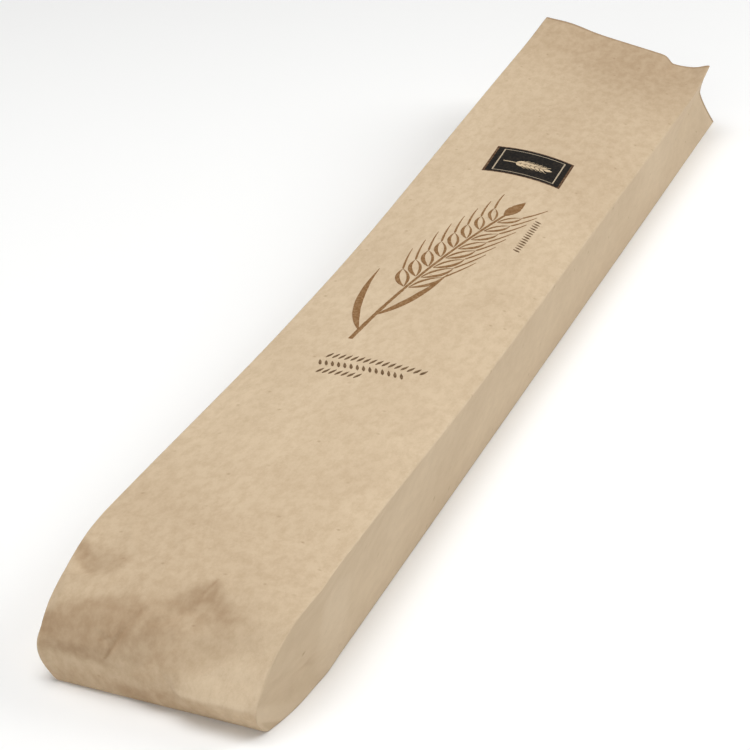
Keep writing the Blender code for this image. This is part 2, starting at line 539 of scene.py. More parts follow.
@dataclass(frozen=True)
class Dent:
    """Shallow hollow pressed into the paper, or a swelling where its depth is negative."""

    centre: Pair
    size: Pair
    depth: float
    turn: float = 0.0

    def rise(self, u: float, v: float) -> float:
        """How far this dent moves the paper outwards at a place on the front panel.

        Args:
            u: Place across the panel.
            v: Place along the panel, negative on the roll.

        Returns:
            The move, negative for inwards.
        """
        angle = math.radians(self.turn)
        du, dv = u - self.centre[0], v - self.centre[1]
        along = (du * math.cos(angle) + dv * math.sin(angle)) / self.size[0]
        over = (dv * math.cos(angle) - du * math.sin(angle)) / self.size[1]
        return -self.depth * math.exp(-(along**2) - over**2)


@dataclass(frozen=True)
class Fold:
    """Straight fold: two flat facets that meet in a valley, or in a ridge where its depth is negative."""

    start: Pair
    end: Pair
    depth: float
    reach_left: float
    reach_right: float
    fade_start: float = 0.008
    fade_end: float = 0.008
    rounding: float = 0.03

    def rise(self, u: float, v: float) -> float:
        """How far this fold moves the paper outwards at a place on the front panel.

        Args:
            u: Place across the panel.
            v: Place along the panel, negative on the roll.

        Returns:
            The move, negative for inwards.
        """
        run = Vector(self.end) - Vector(self.start)
        from_start = Vector((u, v)) - Vector(self.start)
        length = run.length
        along = from_start.dot(run) / length
        fade = smoothstep(along / self.fade_start + 0.5) * smoothstep((length - along) / self.fade_end + 0.5)
        if fade == 0.0:
            return 0.0
        aside = (run.x * from_start.y - run.y * from_start.x) / length
        share = aside / (self.reach_left if aside > 0.0 else self.reach_right)
        tent = 1.0 - math.sqrt(share * share + self.rounding)
        return -self.depth * fade * 0.5 * (tent + math.sqrt(tent * tent + self.rounding / 3.0))


def edge_slopes(outline: tuple[Pair, ...], inside: Vector | None) -> list[tuple[Vector, Vector]]:
    """Edges of a convex outline given anticlockwise, as lines that measure how far inside a place is.

    Args:
        outline: The outline's corners.
        inside: Place where every edge measures 1, or None to measure in the outline's own unit.

    Returns:
        A point of each edge, and the vector that measures inwards from it.
    """
    made = []
    for first, second in zip(outline, outline[1:] + outline[:1]):
        edge = Vector(second) - Vector(first)
        inwards = Vector((-edge.y, edge.x)).normalized()
        reach = inwards.dot(inside - Vector(first)) if inside else 1.0
        made.append((Vector(first), inwards / reach))
    return made


@dataclass(frozen=True)
class Pit:
    """Dent with flat facets: a pyramid pressed into the paper, over a convex outline given anticlockwise."""

    outline: tuple[Pair, ...]
    apex: Pair
    depth: float

    @cached_property
    def facets(self) -> list[tuple[Vector, Vector]]:
        """Each facet as a point of its outer edge, and the slope that reaches 1 at the apex."""
        return edge_slopes(self.outline, Vector(self.apex))

    def rise(self, u: float, v: float) -> float:
        """How far this dent moves the paper outwards at a place on the front panel.

        Args:
            u: Place across the panel.
            v: Place along the panel, negative on the roll.

        Returns:
            The move, negative for inwards.
        """
        place = Vector((u, v))
        share = min(slope.dot(place - corner) for corner, slope in self.facets)
        return -self.depth * max(0.0, share)


def strip(start: Pair, end: Pair, width: float) -> tuple[Pair, ...]:
    """Outline of a straight strip.

    Args:
        start: Middle of one end.
        end: Middle of the other end.
        width: The strip's width.

    Returns:
        The strip's corners, anticlockwise.
    """
    aside = (Vector(end) - Vector(start)).orthogonal().normalized() * width / 2.0
    corners = (Vector(start) - aside, Vector(end) - aside, Vector(end) + aside, Vector(start) + aside)
    return tuple(corner[:] for corner in corners)


@dataclass(frozen=True)
class Patch:
    """Patch of painted shade, or of painted light, over a convex outline given anticlockwise."""

    outline: tuple[Pair, ...]
    strength: float
    softness: float

    @cached_property
    def edges(self) -> list[tuple[Vector, Vector]]:
        """Each edge as a point on it and the direction inwards."""
        return edge_slopes(self.outline, None)

    def tone(self, across: float, along: float) -> float:
        """How strong this patch is at a place.

        Args:
            across: The place's first number.
            along: Its second number.

        Returns:
            The strength, which fades out over the patch's softness.
        """
        place = Vector((across, along))
        depth = min(inwards.dot(place - corner) for corner, inwards in self.edges)
        return self.strength * smoothstep(depth / self.softness + 0.5)


@dataclass(frozen=True)
class PaintedShadeAndLight:
    """Painted shade and painted light on the paper: patches darken it where folds, dents, the tucked-under
    foot and the far end lie in shade, and lighten it where facets catch the light.

    Patches are in millimetres. Those on the front panel and its roll are at (u, v), and those on a gusset at
    (y from the bottom fold, z up).
    """

    # Painted shade of the small dent by the left crease on the roll.
    left_dent_shade: tuple[Patch, ...] = (
        Patch(((-53.5, -21.5), (-50, -31), (-41, -38.5), (-31, -37), (-24.5, -29.5), (-28, -25.5),
               (-40, -23)), 0.2, 5),
        Patch(strip((-53, -21.5), (-39.5, -35.5), 6.5), 0.22, 3),
        Patch(strip((-53, -21.5), (-45, -30), 5), 0.14, 3),
        Patch(strip((-37, -29), (-27, -31), 6), 0.13, 4),
    )
    # Painted shade over the roll's left half, whose facets face down and away from the light.
    left_hollow_shade: tuple[Patch, ...] = (
        Patch(((-58, -59), (-58, -74.5), (-20, -77), (-11, -66), (-7.5, -52), (-12, -46.5), (-29, -48),
               (-45, -54)), 0.36, 5),
        Patch(((-58, -59), (-58, -67.5), (-45, -65.5), (-45, -58)), 0.3, 4),
        Patch(((-42, -66.5), (-42, -73.5), (-24, -75.5), (-22, -70)), 0.16, 4),
        Patch(((-12, -48), (-14, -66), (-8, -72), (6, -70), (9, -58), (2, -44)), 0.26, 7),
        Patch(((-6, -54.5), (-5.5, -62), (0.5, -65), (3, -58), (-0.5, -53)), 0.26, 4),
    )
    # Painted shade in the thin groove on the roll, and in a faint line beside it.
    groove_shade: tuple[Patch, ...] = (
        Patch(strip((-8.9, -51), (-12.6, -61.2), 0.8), 0.6, 0.9),
        Patch(strip((-12.4, -60.6), (-19.6, -73.3), 0.8), 0.75, 0.9),
        Patch(strip((-22.5, -65.5), (-17, -63), 1), 0.25, 1.2),
    )
    # Painted shade on the facets of the pyramid dent on the roll, and around it.
    peak_shade: tuple[Patch, ...] = (
        Patch(((4.5, -41.5), (9, -44.5), (15.5, -41), (15.5, -33.5), (12.2, -31.2)), 0.26, 4),
        Patch(((-0.5, -45.5), (6, -49), (12.5, -44), (11, -35), (5.5, -37.5)), 0.22, 5),
        Patch(((6, -47), (15, -51), (27, -49), (15, -34)), 0.2, 5),
        Patch(((13, -33), (14, -41), (25, -51), (32, -48)), 0.24, 5),
        Patch(strip((10.3, -39.5), (13.4, -31.8), 0.9), 0.4, 1),
        Patch(((4, -47), (6, -70), (30, -68), (42, -52), (34, -42), (12, -38)), 0.19, 9),
        Patch(((-20, -36), (-22, -48), (8, -48), (10, -34)), 0.09, 6),
        Patch(((16, -20), (20, -55), (48, -50), (52, -18), (34, -8)), 0.1, 12),
    )
    # Painted shade, broad and soft, over the roll's lower half and the near end of the front panel.
    shoulder: tuple[Patch, ...] = (
        Patch(((-58, -60), (-58, -86), (10, -86), (34, -60), (28, -48), (0, -48), (-30, -50)), 0.18, 10),
        Patch(((-70, 25), (-70, -55), (10, -55), (20, -20), (0, 10)), 0.12, 30),
        Patch(((-70, 50), (-70, -60), (10, -55), (45, -35), (55, 0), (20, 50)), 0.14, 30),
    )
    # Painted shade along the foot, where the paper tucks under, below the nose fold and on the roll's lower
    # left.
    foot: tuple[Patch, ...] = (
        Patch(((-70, -84), (-70, -100), (4, -100), (4, -84)), 0.36, 8),
        Patch(((4, -84), (4, -100), (70, -100), (70, -79.2), (14, -79.4)), 0.3, 1.2),
        Patch(((-16, -85), (-16, -100), (36, -100), (30, -79.4), (12, -79.3), (0, -81.5)), 0.26, 6),
        Patch(((-4, -66), (-6, -80), (14, -79.2), (18, -72), (15, -64)), 0.18, 5),
        Patch(((-70, -62), (-70, -100), (-4, -100), (6, -80), (-12, -54), (-30, -54)), 0.18, 12),
    )
    # Painted shade towards the mouth, where the light falls off, and over the panel's right side near the
    # dip.
    mouth: tuple[Patch, ...] = (
        Patch(((-120, 475), (110, 475), (110, 700), (-120, 700)), 0.34, 90),
        Patch(((-70, 505), (-20, 505), (-20, 650), (-70, 650)), 0.12, 30),
        Patch(((-20, 400), (10, 335), (52, 310), (52, 650), (-20, 650)), 0.22, 60),
        Patch(((-22, 492), (26, 484), (34, 650), (-30, 650)), 0.08, 35),
    )
    # Painted shade in soft patches on the front panel's right half.
    middle: tuple[Patch, ...] = (
        Patch(((22, 36), (40, 34), (45, 52), (34, 67), (22, 60)), 0.17, 12),
        Patch(((34, 92), (46, 92), (46, 118), (34, 118)), 0.15, 10),
        Patch(((18, 198), (34, 202), (40, 232), (26, 236)), 0.15, 10),
    )
    # Painted shade on the gussets near the bottom end: the facet that turns in, the wedge by its fold, and
    # the shadowed corner at the foot.
    gusset: tuple[Patch, ...] = (
        Patch(((-1, 13.5), (19, 3.5), (30, 12.5), (31, 16), (27, 23), (17.5, 33), (10, 40),
               (-1, 40)), 0.08, 3),
        Patch(((-1, 13.5), (19, 3.5), (27, 11), (10, 20), (-1, 20)), 0.08, 2),
        Patch(((24.5, 12.5), (36.5, 7), (32.3, 15.8)), 0.18, 2),
        Patch(((1.5, 5.2), (2, -1), (10, -1)), 0.35, 1),
    )
    # Painted light on the facet above the nose fold, which faces up, and a painted highlight along the fold's
    # edge.
    painted_light_front: tuple[Patch, ...] = (
        Patch(((14, -78.5), (60, -78.5), (60, -58), (30, -64)), 0.36, 6),
        Patch(strip((13, -78.2), (48, -78), 1.6), 0.4, 1.4),
    )
    # Painted light on the gussets near the bottom end: a band beyond their turn, down to the lower edge, and
    # a small facet at the foot.
    painted_light_gusset: tuple[Patch, ...] = (
        Patch(((30, 15), (36, 4), (50, -2), (64, 4), (42, 30), (23, 33)), 0.7, 4),
        Patch(((0.5, 6), (10, 0), (19, 1.5), (0.5, 12)), 0.6, 1.5),
    )
    near_end_run: float = 0.1
    # Strength of the painted shade along the mouth's cut edge.
    rim_shade: float = 1.0

    @cached_property
    def near_end(self) -> tuple[Patch, ...]:
        """All patches of the front panel's near end."""
        return self.shoulder + self.left_dent_shade + self.left_hollow_shade + self.groove_shade + self.peak_shade + self.foot

    @staticmethod
    def tone(patches: tuple[Patch, ...], place: Pair) -> float:
        """Tone of these patches together, from 0 to 1, at a place given in metres."""
        across, along = (value / MM for value in place)
        return min(1.0, sum(patch.tone(across, along) for patch in patches))

    def dark(self, panel: Face, place: Pair) -> float:
        """How much painted shade darkens a place.

        Args:
            panel: The panel that the place is on.
            place: The place, in metres.

        Returns:
            The darkness, from 0 to 1.
        """
        if panel in (Face.LEFT, Face.RIGHT):
            return self.tone(self.gusset, place)
        if panel in (Face.FRONT, Face.ROLL):
            end = self.mouth if place[1] > self.near_end_run else self.near_end
            return self.tone(self.middle + end, place)
        return 0.0

    def pale(self, panel: Face, place: Pair) -> float:
        """How much painted light lightens a place.

        Args:
            panel: The panel that the place is on.
            place: The place, in metres.

        Returns:
            The paleness, from 0 to 1.
        """
        if panel in (Face.LEFT, Face.RIGHT):
            return self.tone(self.painted_light_gusset, place)
        return self.tone(self.painted_light_front, place) if panel in (Face.FRONT, Face.ROLL) else 0.0


@dataclass(frozen=True)
class PaperRelief:
    """Folds, dents and slack of the paper, as heights over the bag's smooth form."""

    roll_marks: tuple[Fold | Pit, ...] = (
        Fold((-0.060, -0.0530), (-0.004, -0.0580), -0.0030, 0.026, 0.017, 0.008, 0.016, 0.010),
        Fold((-0.060, -0.0745), (-0.006, -0.0795), 0.0030, 0.016, 0.011, 0.008, 0.018, 0.014),
        Fold((-0.012, -0.0720), (0.014, -0.0800), 0.0018, 0.013, 0.009, 0.010, 0.010, 0.010),
        Fold((-0.0068, -0.0500), (-0.0128, -0.0608), 0.0008, 0.0024, 0.0014, 0.003, 0.001, 0.008),
        Fold((-0.0128, -0.0608), (-0.0195, -0.0735), 0.0010, 0.0026, 0.0014, 0.001, 0.003, 0.008),
        Fold((-0.0265, -0.0620), (-0.0165, -0.0665), 0.0006, 0.0020, 0.0016, 0.003, 0.003, 0.008),
        Pit(((-0.052, -0.040), (-0.030, -0.040), (-0.024, -0.033), (-0.040, -0.026), (-0.054, -0.024)),
            (-0.042, -0.0355), 0.0022),
        Pit(((-0.003, -0.056), (0.026, -0.056), (0.030, -0.045), (0.0128, -0.0315), (0.000, -0.0435)),
            (0.010, -0.0465), 0.0024),
        Pit(((-0.008, -0.078), (0.011, -0.078), (0.012, -0.060), (0.000, -0.056), (-0.008, -0.062)),
            (0.002, -0.069), 0.0018),
        Fold((0.018, -0.0620), (0.056, -0.0600), 0.0026, 0.014, 0.019, 0.012, 0.008),
        Fold((0.014, -0.0791), (0.056, -0.0789), -0.0022, 0.009, 0.007, 0.010, 0.008, 0.003),
    )
    gusset_marks: tuple[Fold, ...] = (
        Fold((0.041, 0.000), (0.041, 0.030), -0.0008, 0.010, 0.012, 0.010, 0.010, 0.004),
        Fold((0.000, 0.0085), (0.030, 0.0085), 0.0009, 0.008, 0.009, 0.006, 0.010, 0.004),
    )
    mouth_lift: Dent = Dent((-0.036, 0.540), (0.013, 0.030), -0.0014)
    slack_height: float = 0.00030
    slack_length: float = 0.060
    crumple_height: float = 0.00060
    crumple_length: float = 0.019
    crumple_squeeze: float = 1.3
    crumple_run: float = 0.030
    crumple_fade: float = 0.05
    crumple_mean: float = 0.75
    finer_scale: float = 2.3
    finer_share: float = 0.3
    gusset_slack: float = 0.00035
    gusset_slack_length: float = 0.045
    gusset_mark_run: float = 0.07
    edge_fade: float = 0.006
    edge_share: float = 0.25

    def crumple(self, u: float, v: float) -> float:
        """Fine facets of handled paper at the bottom end.

        Args:
            u: Place across the panel.
            v: Place along the panel, negative on the roll.

        Returns:
            The height of the facets, about -1 to 1.
        """
        place = Vector((u, v * self.crumple_squeeze, 0.37)) / self.crumple_length
        finer_place = place * self.finer_scale + Vector((5.1, 2.2, 0.0))
        ridge, finer = (1.0 - abs(noise.noise(spot)) * 2.0 for spot in (place, finer_place))
        return mix((ridge, finer), self.finer_share) - self.crumple_mean

    def on_front(self, u: float, v: float, half_width: float) -> float:
        """Height of the relief on the front panel and its roll.

        Args:
            u: Place across the panel.
            v: Place along the panel, negative on the roll.
            half_width: Half of the panel's width, where the creases are.

        Returns:
            How far the paper stands out from the smooth form.
        """
        rise = noise.noise(Vector((u * 1.6, v * 0.8, 1.7)) / self.slack_length) * self.slack_height
        if v < self.crumple_run:
            nearness = smoothstep((self.crumple_run - v) / self.crumple_fade)
            rise += self.crumple_height * nearness * self.crumple(u, v)
            rise += sum(mark.rise(u, v) for mark in self.roll_marks)
        edge = smoothstep((half_width - abs(u)) / self.edge_fade)
        return rise * mix((self.edge_share, 1.0), edge) + self.mouth_lift.rise(u, v)

    def on_gusset(self, y: float, z: float, height: float) -> float:
        """Height of the relief on a gusset.

        Args:
            y: Place along the bag, from the bottom fold.
            z: Place up the gusset.
            height: The gusset's width, from back to front panel.

        Returns:
            How far the paper stands out from the smooth form.
        """
        place = Vector((y / self.gusset_slack_length, 0.9 * z / height, 8.3))
        middle = 4.0 * z * (height - z) / height**2
        slack = self.gusset_slack * middle * noise.noise(place)
        return slack + sum(mark.rise(y, z) for mark in self.gusset_marks if y < self.gusset_mark_run)


@dataclass(frozen=True)
class Veil:
    """Layer of colour that shows where a pattern has high values: from low, and most at high."""

    low: float
    high: float
    share: float


@dataclass(frozen=True)
class KraftPaper:
    """Unbleached softwood kraft paper, calendered on a paper machine.

    To the eye it is matt and mid brown. It has cloudy formation where the pulp settled, drawn out a little
    along the web, fibres that cross each other, and a few dark specks of bark.
    """

    base: str = "CBB597"
    pale: str = "D9C4A6"
    deep: str = "B59C7C"
    speck: str = "8C6C49"
    # Colour of worn creases, and of painted light laid on facets that catch the light.
    wear_and_light_tint: str = "DCC8AC"
    # Colour of painted shade, laid where folds, dents and the far end lie in shade.
    painted_shade_tint: str = "A08465"
    roughness: float = 0.78
    specular: float = 0.30
    cloud_mm: float = 34.0
    cloud: Veil = Veil(0.30, 0.70, 0.55)
    flock_mm: float = 4.5
    flock: Veil = Veil(0.38, 0.66, 0.42)
    grain_mm: float = 1.3  # real fibres are 0.03 mm thick, and are drawn as coarse as the camera can see
    grain: Veil = Veil(0.34, 0.66, 0.33)
    fibre_mm: Pair = (0.45, 3.0)
    fibre_angles: Pair = (32.0, -41.0)
    fibre: Veil = Veil(0.52, 0.68, 0.15)
    web_stretch: float = 1.9
    gusset_calm: float = 0.60  # how much flatter the flocks, grain and fibres look on the gussets
    speck_mm: float = 0.8
    speck_edge: Pair = (0.2, 1.4)
    speck_pitch_mm: float = 21.0
    speck_tone: Veil = Veil(0.30, 0.95, 0.55)
    # Painted shade is broken up by the flocks.
    shade_breakup_range: Pair = (0.30, 0.70)
    shade_breakup_share: Pair = (0.75, 1.0)
    # Worn creases and painted light are broken up by the grain.
    wear_and_light_range: Pair = (0.25, 0.60)
    wear_and_light_share: Pair = (0.25, 0.50)
    grain_height_mm: float = 0.04
    fibre_height_mm: float = 0.02
    flock_height_mm: float = 0.07
    bump: float = 0.42

    def material(self, uv_map: str, wear_and_painted_light: str, painted_shade: str, calm: str) -> bpy.types.Material:
        """Build the paper's material.

        Args:
            uv_map: Name of the piece's UV map, which follows the sheet in metres.
            wear_and_painted_light: Name of the attribute that rises on creases, where the paper is worn, and
                where painted light is laid, and is 0 elsewhere.
            painted_shade: Name of the attribute that is above 0 where painted shade darkens the paper.
            calm: Name of the attribute that is 1 on the gussets and 0 elsewhere.

        Returns:
            The material.
        """
        made, shader = new_material("kraft_paper", self.roughness, self.specular)
        flat = add_node(made, "ShaderNodeUVMap", {"uv_map": uv_map}).outputs["UV"]
        web = {"vector_type": "TEXTURE", "Scale": (1.0, self.web_stretch, 1.0)}
        sheet = add_node(made, "ShaderNodeMapping", web, {"Vector": flat}).outputs["Vector"]

        def clouds(place: Socket, settings: dict[str, float]) -> Socket:
            """Noise on the flat sheet."""
            flat_noise = {"noise_dimensions": "2D", **settings}
            return add_node(made, "ShaderNodeTexNoise", flat_noise, {"Vector": place}).outputs["Fac"]

        def pattern(size_mm: float, detail: float, rough: float) -> Socket:
            """Cloudy pattern of this size on the sheet."""
            return clouds(sheet, {"Scale": 1.0 / (size_mm * MM), "Detail": detail, "Roughness": rough})

        def fibres(angle: float) -> Socket:
            """Pattern of long thin fibres.

            Args:
                angle: Angle of the fibres to the bag's length, in degrees.

            Returns:
                The pattern.
            """
            thin, long = self.fibre_mm
            turn = {"Rotation": (0.0, 0.0, math.radians(angle)), "Scale": (thin * MM, long * MM, 1.0)}
            mapping = {"vector_type": "TEXTURE", **turn}
            turned = add_node(made, "ShaderNodeMapping", mapping, {"Vector": flat}).outputs["Vector"]
            return clouds(turned, {"Scale": 1.0, "Detail": 2.0, "Roughness": 0.5, "Distortion": 0.6})

        def attribute(name: str) -> Socket:
            """Value of one of the mesh's attributes."""
            return add_node(made, "ShaderNodeAttribute", {"attribute_name": name}).outputs["Fac"]

        def ramp(source: Socket, span: Pair, to: Pair) -> Socket:
            """Stretch a pattern's values from one span to another."""
            settings = {"From Min": span[0], "From Max": span[1], "To Min": to[0], "To Max": to[1]}
            return add_node(made, "ShaderNodeMapRange", settings, {"Value": source}).outputs["Result"]

        def veiled(source: Socket, veil: Veil) -> Socket:
            """Share of a layer of colour, from its pattern."""
            return ramp(source, (veil.low, veil.high), (0.0, veil.share))

        def joined(how: str, first: Socket, second: Socket) -> Socket:
            """Sum or product of two patterns, by Blender's name for it."""
            node = add_node(made, "ShaderNodeMath", {"operation": how}, {0: first, 1: second})
            return node.outputs["Value"]

        def blend(share: Socket, below: Socket | Colour, above: Colour) -> Socket:
            """Lay a colour over another.

            Args:
                share: Share of the upper colour.
                below: The lower colour, as numbers or as a socket.
                above: The upper colour.

            Returns:
                The mixed colour.
            """
            node = add_node(made, "ShaderNodeMix", {"data_type": "RGBA"}, {0: share})
            if isinstance(below, Socket):
                made.node_tree.links.new(below, node.inputs[6])
            else:
                node.inputs[6].default_value = below
            node.inputs[7].default_value = above
            return node.outputs[2]

        calming = ramp(attribute(calm), (0.0, 1.0), (1.0, 1.0 - self.gusset_calm))
        cloud = pattern(self.cloud_mm, 3.0, 0.55)
        flock = pattern(self.flock_mm, 4.0, 0.62)
        grain = pattern(self.grain_mm, 4.0, 0.85)
        halves = [ramp(fibres(angle), (0.0, 1.0), (0.0, 0.5)) for angle in self.fibre_angles]
        crossing = joined("ADD", *halves)
        cells = {"voronoi_dimensions": "2D", "Scale": 1.0 / (self.speck_pitch_mm * MM)}
        bark = add_node(made, "ShaderNodeTexVoronoi", cells, {"Vector": flat})
        radius = self.speck_mm / self.speck_pitch_mm
        spot = ramp(bark.outputs["Distance"], tuple(edge * radius for edge in self.speck_edge), (1.0, 0.0))
        shade_breakup = ramp(flock, self.shade_breakup_range, self.shade_breakup_share)
        wear_and_light_breakup = ramp(grain, self.wear_and_light_range, self.wear_and_light_share)
        layers = (
            (veiled(cloud, self.cloud), self.pale),
            (joined("MULTIPLY", veiled(flock, self.flock), calming), self.deep),
            (joined("MULTIPLY", veiled(grain, self.grain), calming), self.pale),
            (joined("MULTIPLY", veiled(crossing, self.fibre), calming), self.deep),
            (joined("MULTIPLY", spot, veiled(bark.outputs["Color"], self.speck_tone)), self.speck),
            # Painted shade, broken up by the flocks.
            (joined("MULTIPLY", attribute(painted_shade), shade_breakup), self.painted_shade_tint),
            # Worn creases and painted light, broken up by the grain.
            (joined("MULTIPLY", attribute(wear_and_painted_light), wear_and_light_breakup), self.wear_and_light_tint),
        )
        colour = linear_colour(self.base)
        for share, upper in layers:
            colour = blend(share, colour, linear_colour(upper))
        made.node_tree.links.new(colour, shader.inputs["Base Color"])

        height = ramp(grain, (0.0, 1.0), (0.0, self.grain_height_mm))
        for source, share in ((crossing, self.fibre_height_mm), (flock, self.flock_height_mm)):
            height = joined("ADD", height, ramp(source, (0.0, 1.0), (0.0, share)))
        height = joined("MULTIPLY", height, calming)
        bump = add_node(made, "ShaderNodeBump", {"Strength": self.bump, "Distance": MM}, {"Height": height})
        made.node_tree.links.new(bump.outputs["Normal"], shader.inputs["Normal"])
        return made


@dataclass(frozen=True)
class PrintingInk:
    """Water-based flexographic ink on kraft paper.

    It soaks in, so to the eye it is as matt as the paper, and thin where the paper's fibres stand up.
    """

    name: str
    ink: str
    paper: str = "C3A680"
    cover: Pair = (0.80, 1.0)
    thin_mm: float = 1.4  # real thin spots are about 0.1 mm, and are drawn as coarse as the camera can see
    thin_range: Pair = (0.34, 0.56)
    roughness: float = 0.72
    specular: float = 0.25

    def material(self) -> bpy.types.Material:
        """Build the ink's material, in which a little paper shows through.

        Returns:
            The material.
        """
        made, shader = new_material(self.name, self.roughness, self.specular)
        place = add_node(made, "ShaderNodeTexCoord").outputs["Object"]
        settings = {"Scale": 1.0 / (self.thin_mm * MM), "Detail": 4.0, "Roughness": 0.7}
        thin = add_node(made, "ShaderNodeTexNoise", settings, {"Vector": place}).outputs["Fac"]
        low, high = self.thin_range
        stretch = {"From Min": low, "From Max": high, "To Min": self.cover[0], "To Max": self.cover[1]}
        share = add_node(made, "ShaderNodeMapRange", stretch, {"Value": thin}).outputs["Result"]
        colours = {"data_type": "RGBA", 6: linear_colour(self.paper), 7: linear_colour(self.ink)}
        mixed = add_node(made, "ShaderNodeMix", colours, {0: share})
        made.node_tree.links.new(mixed.outputs[2], shader.inputs["Base Color"])
        return made


@dataclass
class PaperBag:
    """The bag itself: a cage cut into a grid, sunk at its mouth, carried to the bag's form and wrinkled."""

    form: BagForm = field(default_factory=BagForm)
    relief: PaperRelief = field(default_factory=PaperRelief)
    # Painted shade and painted light on the paper.
    painted_shade_and_light: PaintedShadeAndLight = field(default_factory=PaintedShadeAndLight)
    finish: KraftPaper = field(default_factory=KraftPaper)
    thickness: float = 0.00025
    mouth_depth: float = 0.120
    mouth_steps: int = 30
    across_count: int = 112
    along_count: int = 150
    up_count: int = 72
    crease_step: float = 0.0004
    crease_rows: int = 3
    fine_half: float = 0.030
    fine_up: Pair = (0.22, 0.84)
    end_crowding: float = 0.72
    up_crowding: float = 0.55
    uv_map: str = "sheet"
    # Attribute of worn creases, which also carries painted light.
    wear_and_painted_light: str = "crease_wear"
    wear_reach: float = 0.0011
    crease_share: float = 0.30
    # Attribute of painted shade.
    painted_shade: str = "painted_shade"
    calm: str = "gusset"
    roll_stretch: float = 1.6
    rim_reach: float = 0.0013
    roll_fade: float = 0.12
    gusset_fade: float = 0.008
    pocket_depth: float = 0.004
    pocket_ripple: float = 0.022
    pocket_mean: float = 0.6

    def row_place(self, share: float, count: int, edge: float, crowd: Callable[[float], float]) -> float:
        """Place of a grid row, with the first and last few rows set close to the creases.

        Args:
            share: The row's number over the number of rows.
            count: Number of rows.
            edge: Spacing of the rows at a crease, as a share of the whole.
            crowd: Function that spreads the rows between, from 0 to 1.

        Returns:
            The row's place, from 0 to 1.
        """
        row = round(share * count)
        if row <= self.crease_rows:
            return row * edge
        if row >= count - self.crease_rows:
            return 1.0 - (count - row) * edge
        margin = self.crease_rows * edge
        inner = (row - self.crease_rows) / (count - 2 * self.crease_rows)
        return margin + crowd(inner) * (1.0 - 2.0 * margin)

    @staticmethod
    def crowd_none(share: float) -> float:
        """Leave grid rows evenly spread across the bag."""
        return share

    def crowd_along(self, share: float) -> float:
        """Move grid rows towards both ends of the bag, where its shape changes fastest."""
        return share - self.end_crowding / math.tau * math.sin(math.tau * share)

    def crowd_up(self, share: float) -> float:
        """Move grid rows up towards the crest, where the roll's paper is longest."""
        return share + self.up_crowding * share * (1.0 - share)

    def make_cage(self) -> bmesh.types.BMesh:
        """Box with the bag's flat sizes, gridded, with its mouth sunk behind a thin rim.

        Returns:
            The cage.
        """
        size = (self.form.panel_width, self.form.back_length, self.form.gusset_width)
        counts = (self.across_count, self.along_count, self.up_count)
        crowds = (self.crowd_none, self.crowd_along, self.crowd_up)
        cage = bmesh.new()
        bmesh.ops.create_cube(cage, size=1.0, matrix=Matrix.Translation((0.5, 0.5, 0.5)))
        for axis, count in enumerate(counts):
            edges = [e for e in cage.edges if abs((e.verts[0].co - e.verts[1].co)[axis]) > 0.5]
            bmesh.ops.subdivide_edges(cage, edges=edges, cuts=count - 1, use_grid_fill=True)
        for corner in cage.verts:
            for axis, count in enumerate(counts):
                edge = self.crease_step / size[axis]
                place = self.row_place(corner.co[axis], count, edge, crowds[axis])
                corner.co[axis] = place * size[axis]
        self.refine_roll(cage)
        cage.normal_update()
        mouth = [f for f in cage.faces if f.normal.y > 0.5]
        bmesh.ops.inset_region(cage, faces=mouth, thickness=self.thickness, use_even_offset=True)
        for _ in range(self.mouth_steps):
            sunk = bmesh.ops.extrude_face_region(cage, geom=mouth)["geom"]
            bmesh.ops.delete(cage, geom=mouth, context="FACES")
            mouth = [g for g in sunk if isinstance(g, bmesh.types.BMFace)]
            moved = [g for g in sunk if isinstance(g, bmesh.types.BMVert)]
            bmesh.ops.translate(cage, verts=moved, vec=(0.0, -self.mouth_depth / self.mouth_steps, 0.0))
        cage.normal_update()
        return cage

    def refine_roll(self, cage: bmesh.types.BMesh) -> None:
        """Halve the grid where the roll has its sharpest folds.

        Args:
            cage: The gridded box, before its mouth is sunk.
        """
        half = self.form.panel_width / 2.0
        low, high = (share * self.form.gusset_width for share in self.fine_up)

        def is_fine(corner: bmesh.types.BMVert) -> bool:
            """Whether a corner is among the sharp folds."""
            x, y, z = corner.co
            return y < MM / 10.0 and abs(x - half) < self.fine_half and low < z < high

        edges = [edge for edge in cage.edges if all(is_fine(corner) for corner in edge.verts)]
        bmesh.ops.subdivide_edges(cage, edges=edges, cuts=1, use_grid_fill=True)

    def panel_of(self, face: bmesh.types.BMFace) -> Face:
        """Which panel of the bag a face of the cage becomes.

        Args:
            face: A face of the cage.

        Returns:
            The panel.
        """
        middle = face.calc_center_median()
        if abs(face.normal.z) > 0.5:
            return Face.FRONT if middle.z > self.form.gusset_width / 2.0 else Face.BACK
        if abs(face.normal.x) > 0.5:
            return Face.RIGHT if middle.x > self.form.panel_width / 2.0 else Face.LEFT
        return Face.ROLL if middle.y < self.form.back_length / 4.0 else Face.RIM

    def sheet_place(self, corner: Vector, panel: Face) -> Pair:
        """Where a corner of the cage lies on the flat sheet, in metres.

        Args:
            corner: The corner's place in the cage.
            panel: The panel that it is read on.

        Returns:
            The place across and along the sheet.
        """
        half = self.form.panel_width / 2.0
        x, y, z = corner.x - half, corner.y, corner.z
        fallen = self.form.gusset_width - z
        if panel is Face.FRONT:
            return x, y
        if panel is Face.RIGHT:
            return half + fallen, y
        if panel is Face.LEFT:
            return -half - fallen, y
        if panel is Face.BACK:
            return 3.0 * half + self.form.gusset_width - x, y
        if panel is Face.ROLL:
            return x, -self.form.roll_length(z / self.form.gusset_width) * self.roll_stretch
        return x, y + z

